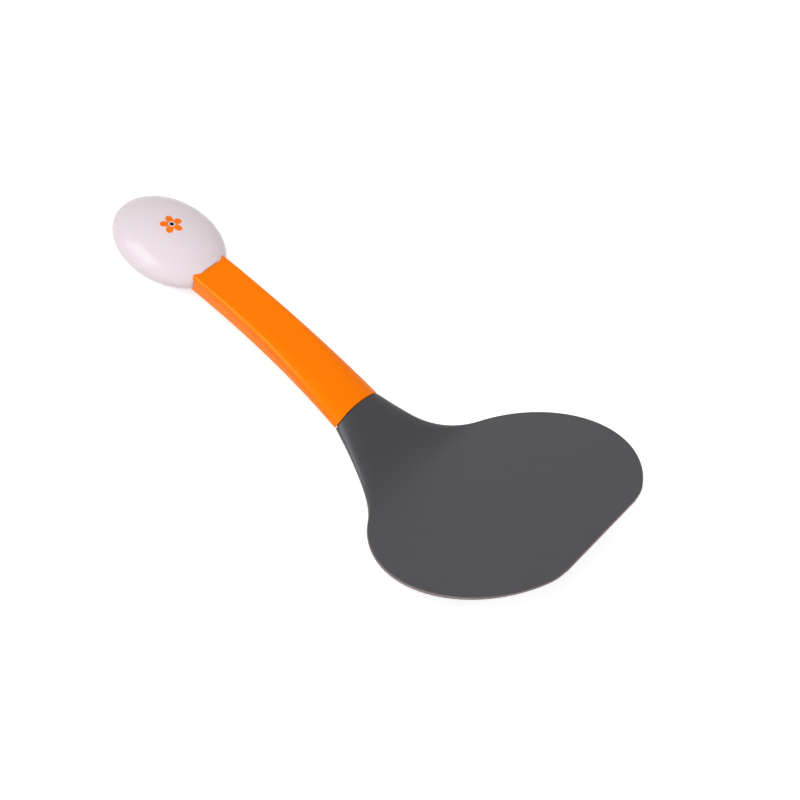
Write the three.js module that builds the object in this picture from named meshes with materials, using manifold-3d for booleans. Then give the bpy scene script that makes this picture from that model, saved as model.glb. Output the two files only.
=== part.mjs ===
import * as THREE from "three";
import { mergeVertices } from "three/addons/utils/BufferGeometryUtils.js";
import Module from "manifold-3d";

// Flexible turner with an egg on the end of its handle, in millimetres.
// Built with the blade level, front edge toward +X, then laid down as it rests on a table.

// Main sizes
const BLADE_WIDTH = 124.9;
const BLADE_LENGTH = 89.35;
const HANDLE_LENGTH = 93;
const EGG_LENGTH = 57;
const EGG_WIDTH = 45.4;
const EGG_THICKNESS = 23.2;

// Blade, seen from above: two round lobes, a straight front edge and a sweep into the neck.
// x is counted from the heel, where the bend starts.
const FRONT_CORNER_RADIUS = 9.5;
const LOBE_RADIUS = 0.574 * BLADE_LENGTH;
const LOBE_CENTRE_X = 0.457 * BLADE_LENGTH;
const LOBE_CENTRE_Y = BLADE_WIDTH / 2 - LOBE_RADIUS;
const LOBE_END_X = -0.019 * BLADE_LENGTH;
const NECK_FLARE = 0.42;

// Blade and neck, seen from the side
const FRONT_THICKNESS = 1.0;
const HEEL_THICKNESS = 2.3;
const NECK_BEND_RADIUS = 36;
const NECK_ANGLE = THREE.MathUtils.degToRad(42);
const NECK_STRAIGHT = 17.3;

// The joint of neck and handle bows toward the egg in its middle; the bow dies out on both sides of it.
const NECK_BOW = 1.6;
const NECK_BOW_RUN = 15.3;

// Handle
const HANDLE_NECK_HALF_WIDTH = 13.9;
const HANDLE_EGG_HALF_WIDTH = 10.3;
const HANDLE_NECK_HALF_HEIGHT = 4.95;
const HANDLE_EGG_HALF_HEIGHT = 4.7;
const NECK_END_ROUND = 0.93;
const EGG_END_ROUND_ACROSS = 0.15;
const EGG_END_ROUND_UP = 0.42;
const HANDLE_FIRST_LEG = 0.457 * HANDLE_LENGTH;
const HANDLE_SECOND_LEG = HANDLE_LENGTH - HANDLE_FIRST_LEG;
const EGG_ANGLE = THREE.MathUtils.degToRad(28.2);
const WALL = 2.2;
const JOINT_GAP = 0.45;
const SEAM_GAP = 0.3;
const SEAM_RISE = 2.2;
const FIT = 0.3;

// Tang, pegs and tenon inside the handle
const TANG_END = 0.55;
const TANG_PEGS = [0.2, 0.42];
const BOSS_AT = 0.78;
const PEG_RADIUS = 2;
const PEG_ENTRY = 0.9;
const BOSS_WALL = 1.5;
const TONGUE_HEIGHT = 1.1;
const TENON_LENGTH = 15;
const TENON_STEP = 2.4;
const END_WALL = 4;
const HORN = 2.5;

// Egg
const EGG_HALF_LENGTH = EGG_LENGTH / 2;
const EGG_HALF_WIDTH = EGG_WIDTH / 2;
const EGG_HALF_THICKNESS = EGG_THICKNESS / 2;
const EGG_ROUND = 0.985;
const EGG_SEAT = 0.888 * EGG_HALF_LENGTH;
const EGG_WALL = 2;
const EGG_PEG_FROM_SEAT = 9;

const CORNER_STEPS = 6;
const ROUND_STEPS = 24;

const BLADE_GREY = 0x56555a;
const HANDLE_ORANGE = 0xfe7f02;
const EGG_WHITE = 0xe4d8de;

const wasm = await Module();
wasm.setup();

const mix = THREE.MathUtils.lerp;

// A section across the tool: half width, half height and the two half axes of its elliptical corners.
function section(halfWidth, halfHeight, cornerWidth, cornerHeight) {
  const points = [];
  const reachY = halfWidth - cornerWidth;
  const reachN = halfHeight - cornerHeight;
  for (let quarter = 0; quarter < 4; quarter += 1) {
    const signY = quarter === 0 || quarter === 3 ? 1 : -1;
    const signN = quarter < 2 ? 1 : -1;
    for (let step = 0; step <= CORNER_STEPS; step += 1) {
      const turn = ((quarter + step / CORNER_STEPS) * Math.PI) / 2;
      const y = signY * reachY + cornerWidth * Math.cos(turn);
      const n = signN * reachN + cornerHeight * Math.sin(turn);
      points.push([y, n]);
    }
  }
  return points;
}

function block(halfWidth, low, high) {
  return [
    [halfWidth, low],
    [halfWidth, high],
    [-halfWidth, high],
    [-halfWidth, low],
  ];
}

// A strip on one side of the tool, from one height to another.
function strip(inner, outer, low, high) {
  return [
    [inner, low],
    [outer, low],
    [outer, high],
    [inner, high],
  ];
}

// A solid through sections, each placed at a point of the side view and leaned by its slope.
// A bowed section reaches toward the egg in its middle. The end caps run from the top to the bottom.
function loft(stations) {
  const count = stations[0].outline.length;
  const positions = [];
  for (const station of stations) {
    const leanX = Math.sin(station.slope);
    const leanZ = Math.cos(station.slope);
    const most = station.bow ?? 0;
    for (const [y, n] of station.outline) {
      const bow = most * Math.max(0, 1 - (y / HANDLE_NECK_HALF_WIDTH) ** 2);
      positions.push(station.x + n * leanX - bow * leanZ, y, station.z + n * leanZ + bow * leanX);
    }
  }
  const triangles = [];
  for (let row = 0; row + 1 < stations.length; row += 1) {
    for (let column = 0; column < count; column += 1) {
      const next = (column + 1) % count;
      const a = row * count + column;
      const b = row * count + next;
      triangles.push(a, b, b + count);
      triangles.push(a, b + count, a + count);
    }
  }
  const last = (stations.length - 1) * count;
  for (let column = 0; column + 1 < count / 2; column += 1) {
    const under = count - 1 - column;
    triangles.push(column, under - 1, column + 1);
    triangles.push(column, under, under - 1);
    triangles.push(last + column, last + column + 1, last + under - 1);
    triangles.push(last + column, last + under - 1, last + under);
  }
  const geometry = new THREE.BufferGeometry();
  geometry.setAttribute("position", new THREE.Float32BufferAttribute(positions, 3));
  geometry.setIndex(facingOut(positions, triangles));
  return geometry;
}

function facingOut(positions, triangles) {
  let volume = 0;
  const a = new THREE.Vector3();
  const b = new THREE.Vector3();
  const c = new THREE.Vector3();
  for (let i = 0; i < triangles.length; i += 3) {
    a.fromArray(positions, triangles[i] * 3);
    b.fromArray(positions, triangles[i + 1] * 3);
    c.fromArray(positions, triangles[i + 2] * 3);
    volume += a.dot(b.cross(c));
  }
  return volume > 0 ? triangles : triangles.slice().reverse();
}

function solid(geometry) {
  const bare = geometry.clone();
  bare.deleteAttribute("normal");
  bare.deleteAttribute("uv");
  const merged = mergeVertices(bare, 1e-4);
  const mesh = new wasm.Mesh({
    numProp: 3,
    vertProperties: new Float32Array(merged.attributes.position.array),
    triVerts: new Uint32Array(merged.index.array),
  });
  return new wasm.Manifold(mesh);
}

function geometryOf(manifold) {
  const mesh = manifold.getMesh();
  const geometry = new THREE.BufferGeometry();
  geometry.setAttribute("position", new THREE.BufferAttribute(mesh.vertProperties, 3));
  geometry.setIndex(new THREE.BufferAttribute(mesh.triVerts, 1));
  geometry.computeVertexNormals();
  return geometry;
}

// A round bar square to the side view's slope, from one height above the centre line to another.
function bar(place, radius, low, high) {
  const geometry = new THREE.CylinderGeometry(radius, radius, high - low, ROUND_STEPS);
  geometry.rotateX(Math.PI / 2);
  geometry.translate(0, 0, (low + high) / 2);
  geometry.rotateY(place.slope);
  geometry.translate(place.x, 0, place.z);
  return solid(geometry);
}

// Outline of the blade: half width at each x from the front edge to the handle.
function bladeOutline() {
  const outline = [];
  const cornerX = BLADE_LENGTH - FRONT_THICKNESS / 2 - FRONT_CORNER_RADIUS;
  const inner = LOBE_RADIUS - FRONT_CORNER_RADIUS;
  const cornerAway = cornerX - LOBE_CENTRE_X;
  const cornerY = LOBE_CENTRE_Y + Math.sqrt(inner * inner - cornerAway * cornerAway);
  const cornerTurn = Math.acos(cornerAway / inner);
  for (let step = 0; step <= 5; step += 1) {
    const turn = (cornerTurn * step) / 5;
    outline.push({
      x: cornerX + FRONT_CORNER_RADIUS * Math.cos(turn),
      halfWidth: cornerY + FRONT_CORNER_RADIUS * Math.sin(turn),
    });
  }
  const lobeEndTurn = Math.acos((LOBE_END_X - LOBE_CENTRE_X) / LOBE_RADIUS);
  for (let step = 1; step <= 22; step += 1) {
    const turn = mix(cornerTurn, lobeEndTurn, step / 22);
    outline.push({
      x: LOBE_CENTRE_X + LOBE_RADIUS * Math.cos(turn),
      halfWidth: LOBE_CENTRE_Y + LOBE_RADIUS * Math.sin(turn),
    });
  }
  const lobeEnd = outline[outline.length - 1];
  const lobeSlope = -1 / Math.tan(lobeEndTurn);
  const rise = lobeEnd.halfWidth - HANDLE_NECK_HALF_WIDTH;
  const run = lobeEnd.x - neckJoint.x;
  const controlRun = (rise - lobeSlope * run) / (NECK_FLARE - lobeSlope);
  for (let step = 1; step <= 15; step += 1) {
    const t = step / 15;
    const back = 1 - t;
    const x = back * back * lobeEnd.x + 2 * back * t * (neckJoint.x + controlRun) + t * t * neckJoint.x;
    const control = HANDLE_NECK_HALF_WIDTH + NECK_FLARE * controlRun;
    const halfWidth = back * back * lobeEnd.halfWidth + 2 * back * t * control + t * t * HANDLE_NECK_HALF_WIDTH;
    outline.push({ x, halfWidth });
  }
  return outline;
}

// Side view of the blade: level, then a bend up, then straight to the handle.
const bendEndX = -NECK_BEND_RADIUS * Math.sin(NECK_ANGLE);
const bendEndZ = HEEL_THICKNESS / 2 + NECK_BEND_RADIUS * (1 - Math.cos(NECK_ANGLE));
const neckJoint = {
  x: bendEndX - NECK_STRAIGHT * Math.cos(NECK_ANGLE),
  z: bendEndZ + NECK_STRAIGHT * Math.sin(NECK_ANGLE),
  slope: NECK_ANGLE,
};
const bendLength = NECK_BEND_RADIUS * NECK_ANGLE;

function bladeStation(x, halfWidth) {
  let slope = 0;
  let along = 0;
  let z = 0;
  let thickness = mix(HEEL_THICKNESS, FRONT_THICKNESS, x / BLADE_LENGTH);
  if (x < bendEndX) {
    slope = NECK_ANGLE;
    along = bendLength + (bendEndX - x) / Math.cos(NECK_ANGLE);
    z = bendEndZ + (bendEndX - x) * Math.tan(NECK_ANGLE);
  } else if (x < 0) {
    slope = Math.asin(-x / NECK_BEND_RADIUS);
    along = NECK_BEND_RADIUS * slope;
    z = HEEL_THICKNESS / 2 + NECK_BEND_RADIUS * (1 - Math.cos(slope));
  }
  const part = (along / (bendLength + NECK_STRAIGHT)) ** 1.5;
  if (x < 0) {
    thickness = mix(HEEL_THICKNESS, 2 * HANDLE_NECK_HALF_HEIGHT, part);
  } else {
    z = thickness / 2;
  }
  const halfHeight = thickness / 2;
  const cornerWidth = mix(halfHeight, NECK_END_ROUND * halfWidth, part);
  const toHandle = bendLength + NECK_STRAIGHT - along;
  const bow = NECK_BOW * Math.max(0, 1 - toHandle / NECK_BOW_RUN) ** 2;
  return { x, z, slope, bow, outline: section(halfWidth, halfHeight, cornerWidth, NECK_END_ROUND * halfHeight) };
}

// Centre line of the handle, from the neck at 0 to the egg at 1.
const handleKnee = {
  x: neckJoint.x - HANDLE_FIRST_LEG * Math.cos(NECK_ANGLE),
  z: neckJoint.z + HANDLE_FIRST_LEG * Math.sin(NECK_ANGLE),
};
const eggJoint = {
  x: handleKnee.x - HANDLE_SECOND_LEG * Math.cos(EGG_ANGLE),
  z: handleKnee.z + HANDLE_SECOND_LEG * Math.sin(EGG_ANGLE),
  slope: EGG_ANGLE,
};

function handlePlace(t) {
  const back = 1 - t;
  const x = back * back * neckJoint.x + 2 * back * t * handleKnee.x + t * t * eggJoint.x;
  const z = back * back * neckJoint.z + 2 * back * t * handleKnee.z + t * t * eggJoint.z;
  const dx = back * (handleKnee.x - neckJoint.x) + t * (eggJoint.x - handleKnee.x);
  const dz = back * (handleKnee.z - neckJoint.z) + t * (eggJoint.z - handleKnee.z);
  return { x, z, slope: Math.atan2(dz, -dx) };
}

function handleHalfWidth(t) {
  return mix(HANDLE_EGG_HALF_WIDTH, HANDLE_NECK_HALF_WIDTH, (1 - t) ** 2);
}

function handleHalfHeight(t) {
  return mix(HANDLE_NECK_HALF_HEIGHT, HANDLE_EGG_HALF_HEIGHT, t);
}

// Section of the handle moved in by a margin.
function handleSection(t, margin) {
  const halfWidth = handleHalfWidth(t) - margin;
  const halfHeight = handleHalfHeight(t) - margin;
  const across = mix(EGG_END_ROUND_ACROSS, NECK_END_ROUND, (1 - t) ** 2) * halfWidth;
  const up = mix(EGG_END_ROUND_UP, NECK_END_ROUND, (1 - t) ** 2) * halfHeight;
  return section(halfWidth, halfHeight, across, up);
}

function pastEggJoint(distance) {
  return {
    x: eggJoint.x - distance * Math.cos(EGG_ANGLE),
    z: eggJoint.z + distance * Math.sin(EGG_ANGLE),
    slope: EGG_ANGLE,
  };
}

function alongHandle(from, to, steps, outline) {
  const stations = [];
  for (let step = 0; step <= steps; step += 1) {
    const t = mix(from, to, step / steps);
    const bow = NECK_BOW * Math.max(0, 1 - (2 * HANDLE_FIRST_LEG * t) / NECK_BOW_RUN) ** 2;
    stations.push({ ...handlePlace(t), bow, outline: outline(t) });
  }
  return stations;
}

const handleStart = JOINT_GAP / (2 * HANDLE_FIRST_LEG);
const cavityEnd = 1 - END_WALL / (2 * HANDLE_SECOND_LEG);

function makeBlade() {
  const stations = bladeOutline().map(({ x, halfWidth }) => bladeStation(x, halfWidth));
  const edge = stations[0];
  const thin = section(
    bladeOutline()[0].halfWidth,
    FRONT_THICKNESS / 4,
    FRONT_THICKNESS / 4,
    (NECK_END_ROUND * FRONT_THICKNESS) / 4,
  );
  const tip = { x: BLADE_LENGTH, z: edge.z, slope: 0, outline: thin };
  const tang = alongHandle(0, TANG_END, 14, (t) => handleSection(t, WALL + FIT));
  let body = solid(loft([tip, ...stations, ...tang]));
  for (const at of TANG_PEGS) {
    body = body.subtract(bar(handlePlace(at), PEG_RADIUS + FIT, -HANDLE_NECK_HALF_HEIGHT, HANDLE_NECK_HALF_HEIGHT));
  }
  return body;
}

// A place before the neck end of the handle, for cuts that run out there.
function beforeHandle(outline) {
  return {
    x: neckJoint.x + WALL * Math.cos(NECK_ANGLE),
    z: neckJoint.z - WALL * Math.sin(NECK_ANGLE),
    slope: NECK_ANGLE,
    bow: NECK_BOW,
    outline,
  };
}

// The whole handle as a closed tube with its tenon, before it is parted into shells.
// Its four corners run on past the seat as short horns, cut to the skin of the egg.
function handleTube() {
  const outer = alongHandle(handleStart, 1, 20, (t) => handleSection(t, 0));
  const horns = { ...pastEggJoint(HORN), outline: handleSection(1, 0) };
  const cover = solid(loft([...outer, horns])).subtract(eggBody(-JOINT_GAP, -EGG_SEAT));
  const tenon = solid(loft([
    { ...pastEggJoint(-WALL), outline: handleSection(1, TENON_STEP) },
    { ...pastEggJoint(TENON_LENGTH), outline: handleSection(1, TENON_STEP) },
  ]));
  const cavity = alongHandle(0, cavityEnd, 20, (t) => handleSection(t, WALL));
  const hollow = solid(loft([beforeHandle(handleSection(0, WALL)), ...cavity]));
  return cover.add(tenon).subtract(hollow);
}

const BIG = 40;

// Height of the seam over the centre line: level with it at the neck, under the top edge at the egg.
function seamAt(t) {
  return SEAM_RISE * (1 - (1 - t) ** 2);
}

// All that lies on one side of the seam.
function handleSide(outline) {
  const run = alongHandle(0, 1, 20, outline);
  const after = { ...pastEggJoint(TENON_LENGTH + WALL), outline: outline(1) };
  return solid(loft([beforeHandle(outline(0)), ...run, after]));
}

// Tongue along the inner half of the wall on both sides; the room cut for it is open to the inside.
function handleTongue(grow) {
  const sides = [-1, 1].map((side) => {
    const run = alongHandle(handleStart * 2, 0.98, 20, (t) => {
      const inner = side * (handleHalfWidth(t) - WALL - 3 * grow);
      const outer = side * (handleHalfWidth(t) - WALL / 2 + grow);
      const low = seamAt(t) - WALL / 2;
      return strip(Math.min(inner, outer), Math.max(inner, outer), low, seamAt(t) + TONGUE_HEIGHT + grow);
    });
    return solid(loft(run));
  });
  return sides[0].add(sides[1]);
}

const eggPegPlace = pastEggJoint(EGG_PEG_FROM_SEAT);

function makeHandle() {
  const tube = handleTube();
  let upper = tube.intersect(handleSide((t) => block(BIG, seamAt(t) + SEAM_GAP / 2, BIG / 4)));
  let lower = tube.intersect(handleSide((t) => block(BIG, -BIG / 4, seamAt(t) - SEAM_GAP / 2)));
  for (const at of TANG_PEGS) {
    const place = handlePlace(at);
    const ceiling = handleHalfHeight(at) - WALL;
    lower = lower.add(bar(place, PEG_RADIUS, -ceiling - WALL / 2, ceiling + PEG_ENTRY));
    upper = upper.subtract(bar(place, PEG_RADIUS + FIT, -ceiling, ceiling + PEG_ENTRY + FIT));
  }
  const bossPlace = handlePlace(BOSS_AT);
  const bossCeiling = handleHalfHeight(BOSS_AT) - WALL;
  const bossRadius = PEG_RADIUS + FIT + BOSS_WALL;
  const bossTop = seamAt(BOSS_AT) - SEAM_GAP;
  lower = lower.add(bar(bossPlace, bossRadius, -bossCeiling - WALL / 2, bossTop));
  lower = lower.subtract(bar(bossPlace, PEG_RADIUS + FIT, -bossCeiling, bossCeiling));
  upper = upper.add(bar(bossPlace, PEG_RADIUS, -bossCeiling + FIT, bossCeiling + WALL / 2));
  lower = lower.add(handleTongue(0));
  upper = upper.subtract(handleTongue(FIT));
  const through = bar(eggPegPlace, PEG_RADIUS + FIT, -BIG / 4, BIG / 4);
  return [upper.subtract(through), lower.subtract(through)];
}

// Egg: distance along its axis is measured from its centre, back end positive.
function eggPlace(along) {
  return pastEggJoint(EGG_SEAT + along);
}

function eggBody(margin, from) {
  const stations = [];
  const halfLength = EGG_HALF_LENGTH - margin;
  const startTurn = Math.acos(from / halfLength);
  for (let step = 0; step <= 18; step += 1) {
    const turn = mix(startTurn, 0.06, step / 18);
    const halfWidth = (EGG_HALF_WIDTH - margin) * Math.sin(turn);
    const halfThickness = (EGG_HALF_THICKNESS - margin) * Math.sin(turn);
    const outline = section(
      halfWidth,
      halfThickness,
      EGG_ROUND * halfWidth,
      EGG_ROUND * halfThickness,
    );
    stations.push({ ...eggPlace(halfLength * Math.cos(turn)), outline });
  }
  return solid(loft(stations));
}

function eggSide(low, high) {
  const outline = block(BIG, low, high);
  return solid(loft([
    { ...eggPlace(-EGG_HALF_LENGTH - WALL), outline },
    { ...eggPlace(EGG_HALF_LENGTH + WALL), outline },
  ]));
}

// Rim tongue: an oval band along the inner half of the wall, clear of the handle end.
function eggTongue(grow) {
  const band = [];
  for (const margin of [EGG_WALL / 2 - grow, EGG_WALL + 3 * grow]) {
    const path = new THREE.Shape();
    path.absellipse(0, 0, EGG_HALF_LENGTH - margin, EGG_HALF_WIDTH - margin, 0, 2 * Math.PI);
    band.push(path);
  }
  band[0].holes.push(band[1]);
  const height = TONGUE_HEIGHT + grow + EGG_WALL / 2;
  const geometry = new THREE.ExtrudeGeometry(band[0], { depth: height, bevelEnabled: false, curveSegments: 48 });
  const centre = eggPlace(0);
  geometry.translate(0, 0, -EGG_WALL / 2);
  geometry.rotateY(EGG_ANGLE);
  geometry.translate(centre.x, 0, centre.z);
  const outline = block(BIG, -BIG, BIG);
  const clear = solid(loft([
    { ...eggPlace(-EGG_SEAT + EGG_WALL * 2 - grow), outline },
    { ...eggPlace(EGG_HALF_LENGTH + EGG_WALL), outline },
  ]));
  return solid(geometry).intersect(clear);
}

function makeEgg() {
  const seat = -EGG_SEAT + JOINT_GAP;
  const cavity = eggBody(EGG_WALL, seat + EGG_WALL);
  const socket = solid(loft([
    { ...pastEggJoint(-WALL), outline: handleSection(1, TENON_STEP - FIT) },
    { ...pastEggJoint(TENON_LENGTH + FIT), outline: handleSection(1, TENON_STEP - FIT) },
  ]));
  const hollow = eggBody(0, seat).subtract(cavity);
  let front = hollow.intersect(eggSide(SEAM_GAP / 2, BIG));
  let back = hollow.intersect(eggSide(-BIG, -SEAM_GAP / 2));
  const tenonTop = HANDLE_EGG_HALF_HEIGHT - TENON_STEP;
  const pegTop = tenonTop + FIT + PEG_ENTRY * 2;
  const inside = eggBody(EGG_WALL / 2, seat + EGG_WALL / 2);
  const bossRadius = PEG_RADIUS + FIT + BOSS_WALL;
  const boss = bar(eggPegPlace, bossRadius, tenonTop + FIT, BIG).intersect(inside);
  const foot = bar(eggPegPlace, bossRadius, -BIG, -tenonTop - FIT).intersect(inside);
  const peg = bar(eggPegPlace, PEG_RADIUS, -tenonTop - BOSS_WALL, pegTop);
  front = front.add(boss).subtract(bar(eggPegPlace, PEG_RADIUS + FIT, 0, pegTop + FIT));
  front = front.subtract(socket).subtract(eggTongue(FIT));
  back = back.add(foot).subtract(socket).add(peg).add(eggTongue(0).subtract(socket));
  return [front, back];
}

function piece(name, manifold, colour, roughness) {
  const material = new THREE.MeshStandardMaterial({ color: colour, roughness, metalness: 0 });
  const mesh = new THREE.Mesh(geometryOf(manifold), material);
  mesh.name = name;
  return mesh;
}

const blade = piece("blade", makeBlade(), BLADE_GREY, 0.55);
const [upperShell, lowerShell] = makeHandle();
const [frontShell, backShell] = makeEgg();
const tool = new THREE.Group();
tool.name = "tool";
const eggBack = piece("egg_back_shell", backShell, EGG_WHITE, 0.2);
tool.add(blade);
tool.add(piece("handle_upper_shell", upperShell, HANDLE_ORANGE, 0.2));
tool.add(piece("handle_lower_shell", lowerShell, HANDLE_ORANGE, 0.2));
tool.add(piece("egg_front_shell", frontShell, EGG_WHITE, 0.2));
tool.add(eggBack);

// Lowest reach of a piece on a table that leans back by an angle.
function reach(mesh, lean) {
  const spots = mesh.geometry.attributes.position;
  let lowest = Infinity;
  for (let i = 0; i < spots.count; i += 1) {
    lowest = Math.min(lowest, spots.getX(i) * Math.sin(lean) + spots.getZ(i) * Math.cos(lean));
  }
  return lowest;
}

// The tool lies on the underside of its neck and on the back of the egg.
let level = 0;
let steep = Math.PI / 3;
for (let step = 0; step < 40; step += 1) {
  const lean = (level + steep) / 2;
  if (reach(eggBack, lean) > reach(blade, lean)) {
    level = lean;
  } else {
    steep = lean;
  }
}
tool.rotation.y = -level;
tool.updateMatrixWorld(true);
const box = new THREE.Box3().setFromObject(tool, true);
tool.position.set(-(box.min.x + box.max.x) / 2, 0, -box.min.z);

const part = new THREE.Group();
part.name = "flexible_turner";
part.add(tool);

export default part;
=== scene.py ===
import math

import bmesh
import bpy
from mathutils import Matrix, Vector


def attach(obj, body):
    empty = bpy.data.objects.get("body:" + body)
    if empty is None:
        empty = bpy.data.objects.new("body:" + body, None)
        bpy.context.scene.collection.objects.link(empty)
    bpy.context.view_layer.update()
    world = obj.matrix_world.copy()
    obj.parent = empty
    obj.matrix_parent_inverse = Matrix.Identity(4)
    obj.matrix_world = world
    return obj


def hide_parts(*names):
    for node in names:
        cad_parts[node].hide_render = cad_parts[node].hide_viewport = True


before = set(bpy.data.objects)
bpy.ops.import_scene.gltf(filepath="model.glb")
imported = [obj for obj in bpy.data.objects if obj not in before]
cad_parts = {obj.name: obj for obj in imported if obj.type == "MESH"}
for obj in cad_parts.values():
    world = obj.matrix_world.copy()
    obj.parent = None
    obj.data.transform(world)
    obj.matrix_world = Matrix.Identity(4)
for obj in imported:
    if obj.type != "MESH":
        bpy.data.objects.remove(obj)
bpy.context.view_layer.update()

bl_info = {
    "name": "Flexible turner",
    "version": (1, 0, 0),
    "blender": (4, 5, 0),
    "location": "View3D > Sidebar > Turner",
    "description": "Builds a flexible kitchen turner with an egg on its handle, and its stage",
    "category": "Add Mesh",
}

MM = 0.001
BODY = "root"

# How finely the forms are stepped.
ROUND_STEPS = 8
FLAT_CUTS = 6
FRONT_CORNER_STEPS = 10
LOBE_STEPS = 36
NECK_STEPS = 24
TANG_STEPS = 16
HANDLE_STEPS = 56
HANDLE_ROUND_STEPS = 16
ROOM_STEPS = 32
ROOM_ROUND_STEPS = 10
STUB_ROUND_STEPS = 4
EGG_SEGMENTS = 96
GROWN_EGG_SEGMENTS = 64
EGG_RIM_STEPS = 3

# Distances below which two points are one, and a point touches a section or a cut.
SAME_POINT = 1e-7
TOUCH = 1e-6

# Edges up to the first angle are shaded smooth; the egg's edges past the second are rounded.
SMOOTH_ANGLE = math.radians(40.0)
EGG_RIM_ANGLE = math.radians(50.0)

# Shares of the flat that tell its edge from short ones and its points from corner points.
FLAT_EDGE = 0.98
FLAT_POINT = 0.9995

# A filled cut is known by its many corners, the egg's seat also by facing the handle.
SEAM_FACE_CORNERS = 40
SEAT_FACE_CORNERS = 20
SEAT_FACING = 0.99

# Front edge of the blade: thickness at each step of its rounding, and how far its sides draw in.
TIP_PARTS = (0.5, 0.87)
TIP_DRAW = 0.3 * MM

# Neck end of the blade: how late the neck swells, the taper of its rim, the share of the gap that the
# collar crosses, and the short step from one width to the next.
NECK_SWELL = 1.5
NECK_RIM_TAPER = 0.7
COLLAR_SHARE = 0.9
SHORT_STEP = 0.01 * MM

# Painted highlight along the blade's rounded rim, a pale line in place of light caught by the edge:
# share of the front edge that is outermost, run behind the heel over which it dies out, its start and
# end across the edge, and its cover.
FRONT_SHARE = 0.4
HIGHLIGHT_RUN = 0.02
HIGHLIGHT_FADE = (0.35, 0.95)
HIGHLIGHT_COVER = 0.85

# Dust on the nylon: cells in a metre, fade of a speck, share of clean cells, cover and colour.
DUST_CELLS = 85.0
DUST_FADE = (0.016, 0.03)
DUST_CLEAN = 0.93
DUST_COVER = 0.45
DUST_COLOUR = (0.6, 0.6, 0.6, 1.0)

# Height of the grain in the mouldings, and the warm shine of the handle.
GRAIN_HEIGHT = 0.05 * MM
HANDLE_SHINE = (1.0, 0.9, 0.4, 1.0)

# The printed blossom, in shares of its radius.
PETALS = 5.0
PETAL_REACH = 0.62
PETAL_WAIST = 0.38
PETAL_ROUND = 0.7
PETAL_FADE = (-0.02, 0.03)
RING_FADE = (0.27, 0.31)
HEART_FADE = (0.17, 0.21)
BLOSSOM_TURN = math.radians(12.0)

# Stage: the floor's size and glow, the sky's light, and what gloss mirrors of it high up.
WHITE = (1.0, 1.0, 1.0, 1.0)
FLOOR_SIZE = 6.0
FLOOR_GLOW = 0.52
SKY_LIGHT = 0.42
SKY_MIRRORED = 0.25
SKY_FADE = (0.32, 0.62)

# Lamps, aimed at the tool's middle: name, place, size, watts, and whether gloss alone shows it.
LAMP_AIM = (0.0, 0.0, 0.02)
LAMPS = (
    ("key", (-0.1, -1.1, 1.28), (1.1, 1.1), 15.4, False),
    ("window", (-0.8, -1.0, 1.0), (0.9, 0.75), 3.6, False),
    ("shine", (-0.75, -1.05, 0.95), (1.2, 0.95), 21.0, True),
    ("right", (0.85, 0.2, 1.1), (0.7, 0.7), 4.2, False),
)

# The tool is shaped with its blade level and the heel at x = 0, then laid down as it rests.
REST_LEAN = math.radians(30.633)
REST_X = 56.046 * MM
REST_Z = 6.426 * MM

# Camera of the photograph's view: place, and the directions of the picture's right, down and depth.
CAMERA_PLACE = (0.187117, -0.388904, 0.562608)
PICTURE_RIGHT = (0.740844, 0.627163, 0.240468)
PICTURE_DOWN = (0.630059, -0.524803, -0.572376)
PICTURE_DEPTH = (-0.232773, 0.575547, -0.783940)
LENS = 71.742
SENSOR = 36.0
CLIP_START = 0.01
PICTURE_SHIFT = (0.36 / 800, 0.83 / 800)


def length(name, description, default):
    """A size in metres, written in millimetres."""
    return bpy.props.FloatProperty(
        name=name, description=description, default=default * MM, unit="LENGTH", precision=5
    )


def share(name, description, default):
    """A part of a whole, from 0 to 1."""
    return bpy.props.FloatProperty(
        name=name, description=description, default=default, min=0.0, max=1.0, subtype="FACTOR"
    )


def angle(name, description, default):
    """An angle, written in degrees."""
    return bpy.props.FloatProperty(
        name=name, description=description, default=math.radians(default), subtype="ANGLE"
    )


def colour(name, description, red, green, blue):
    """A colour as it is seen, written as screen values from 0 to 255."""
    values = []
    for value in (red, green, blue):
        part = value / 255.0
        values.append(part / 12.92 if part <= 0.04045 else ((part + 0.055) / 1.055) ** 2.4)
    return bpy.props.FloatVectorProperty(
        name=name, description=description, default=values, subtype="COLOR", min=0.0, max=1.0
    )


class TurnerBladeSizes(bpy.types.PropertyGroup):
    """Sizes of the blade, its neck and its tang."""

    width: length("Width", "Blade across its two lobes", 124.9)
    reach: length("Length", "Heel to front edge", 89.35)
    corner: length("Front corner", "Radius of the front corners", 20.0)
    lobe: share("Lobe", "Lobe radius as a share of the length", 0.574)
    lobe_centre: share("Lobe centre", "Lobe centre from the heel, as a share of the length", 0.457)
    lobe_end: share("Lobe end", "End of the lobe behind the heel, as a share of the length", 0.019)
    flare: share("Neck flare", "Spread of the neck sides at the handle", 0.42)
    front_thickness: length("Front thickness", "Thickness of the front edge", 1.0)
    heel_thickness: length("Heel thickness", "Thickness at the heel", 2.3)
    bend_radius: length("Bend radius", "Radius of the bend behind the heel", 36.0)
    neck_angle: angle("Neck angle", "Slope of the neck over the blade", 42.0)
    neck_straight: length("Neck straight", "Straight run from the bend to the handle", 17.3)
    bow: length("Joint bow", "How far the middle of the joint reaches toward the egg", 1.6)
    bow_run: length("Bow run", "Distance over which the bow dies out", 15.3)
    neck_rim: length("Neck rim", "Rounding of the rim at the handle", 0.3)
    collar: length("Collar", "Depth of the collar that closes the gap to the handle", 1.3)
    tang_play: length("Tang play", "Clearance of the tang inside the handle", 0.3)
    tang_end: share("Tang end", "How far the tang runs into the handle", 0.55)


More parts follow.
